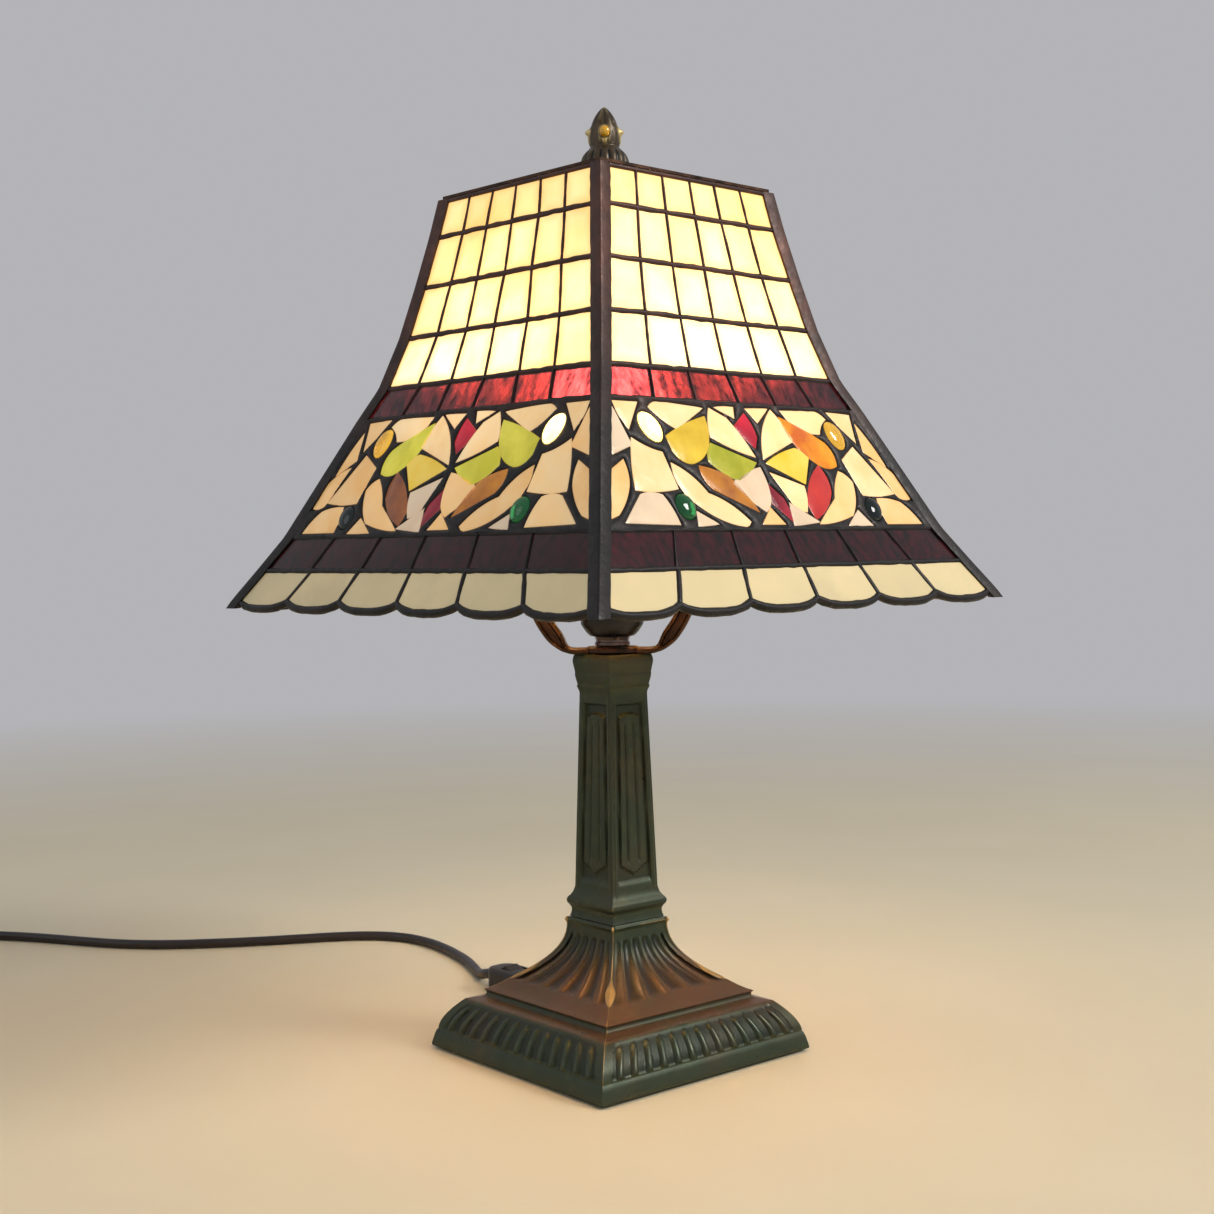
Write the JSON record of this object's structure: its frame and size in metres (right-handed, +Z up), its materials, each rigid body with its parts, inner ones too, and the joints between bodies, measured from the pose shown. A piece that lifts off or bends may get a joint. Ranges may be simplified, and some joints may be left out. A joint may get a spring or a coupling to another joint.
{
  "type": "table lamp",
  "caption": "Table lamp with a square bell-shaped leaded glass shade on a harp, a tapered square cast column and a stepped square foot, with its mains lead, switch and plug.",
  "frame": {"origin": "middle of the foot's underside, on the felt pad", "axes": "+Z up the column; the faces of the foot look along +X, -X, +Y and -Y; the lead leaves through the back face, +Y"},
  "size_m": [0.4944, 0.733, 0.5222],
  "materials": {
    "patinated_bronze": "dark green-brown bronze patina, rubbed edges",
    "copper_bronze": "antique copper bronze",
    "leadwork": "dark patinated solder",
    "cream_glass": "opalescent cream glass",
    "ruby_glass": "streaky ruby glass",
    "garnet_glass": "deep garnet glass",
    "floral_glass": "opalescent glass in cream, amber, green and red",
    "steel_hardware": "zinc plated",
    "cast_ballast": "raw casting",
    "felt": "green-black felt",
    "black_socket": "matt black",
    "socket_collar": "pale grey-pink",
    "brass_shell": "bright brass",
    "bulb_glass": "frosted",
    "bulb_cap": "rolled thread",
    "gem": "polished amber",
    "lead_sheath": "dark brown-black flexible sheath",
    "black_plastic": "moulded, slightly worn",
    "plug_metal": "plated blades"
  },
  "bodies": {
    "root": {"felt_pad": "felt", "bottom_plate": "steel_hardware", "foot_washer": "steel_hardware", "foot_nut": "steel_hardware", "threaded_rod": "steel_hardware", "foot": "patinated_bronze", "column": "patinated_bronze", "ballast_weight": "cast_ballast", "harp": "copper_bronze", "harp_seat_washer": "copper_bronze", "socket_ring": "socket_collar", "socket_shell": "black_socket", "socket_screw_shell": "brass_shell", "lead_foot_to_switch": "lead_sheath", "lead_to_coil": "lead_sheath", "lead_coil": "lead_sheath", "lead_tail": "lead_sheath", "inner_lead": "lead_sheath", "strain_relief": "black_plastic", "switch_body": "black_plastic", "coil_tie": "black_plastic", "plug_body": "black_plastic"},
    "shade": {"cream_panel_front": "cream_glass", "border_panel_front": "cream_glass", "ruby_strip_front": "ruby_glass", "garnet_strip_front": "garnet_glass", "floral_panel_front": "floral_glass", "lead_net_front": "leadwork", "corner_came_front": "leadwork", "cream_panel_right": "cream_glass", "border_panel_right": "cream_glass", "ruby_strip_right": "ruby_glass", "garnet_strip_right": "garnet_glass", "floral_panel_right": "floral_glass", "lead_net_right": "leadwork", "corner_came_right": "leadwork", "cream_panel_back": "cream_glass", "border_panel_back": "cream_glass", "ruby_strip_back": "ruby_glass", "garnet_strip_back": "garnet_glass", "floral_panel_back": "floral_glass", "lead_net_back": "leadwork", "corner_came_back": "leadwork", "cream_panel_left": "cream_glass", "border_panel_left": "cream_glass", "ruby_strip_left": "ruby_glass", "garnet_strip_left": "garnet_glass", "floral_panel_left": "floral_glass", "lead_net_left": "leadwork", "corner_came_left": "leadwork", "plug_blade_left": "plug_metal", "plug_blade_right": "plug_metal", "top_rim": "leadwork", "vented_cap": "copper_bronze"},
    "finial": {"finial": "copper_bronze", "finial_gem": "gem"},
    "bulb": {"bulb_base": "bulb_cap", "bulb_globe": "bulb_glass"},
    "switch_rocker": {"switch_rocker": "black_plastic"}
  },
  "joints": [
    {"name": "shade_swivel", "type": "hinge", "parent": "root", "child": "shade", "pos_m": [0, 0, 0.4825], "axis": [0, 0, 1], "continuous": true},
    {"name": "finial_turn", "type": "hinge", "parent": "root", "child": "finial", "pos_m": [0, 0, 0.49], "axis": [0, 0, 1], "continuous": true},
    {"name": "bulb_turn", "type": "hinge", "parent": "root", "child": "bulb", "pos_m": [0, 0, 0.26], "axis": [0, 0, 1], "continuous": true},
    {"name": "switch_rock", "type": "hinge", "parent": "root", "child": "switch_rocker", "pos_m": [0.03, 0.133, 0.0135], "axis": [1, 0, 0], "range_deg": [-16, 0]}
  ]
}
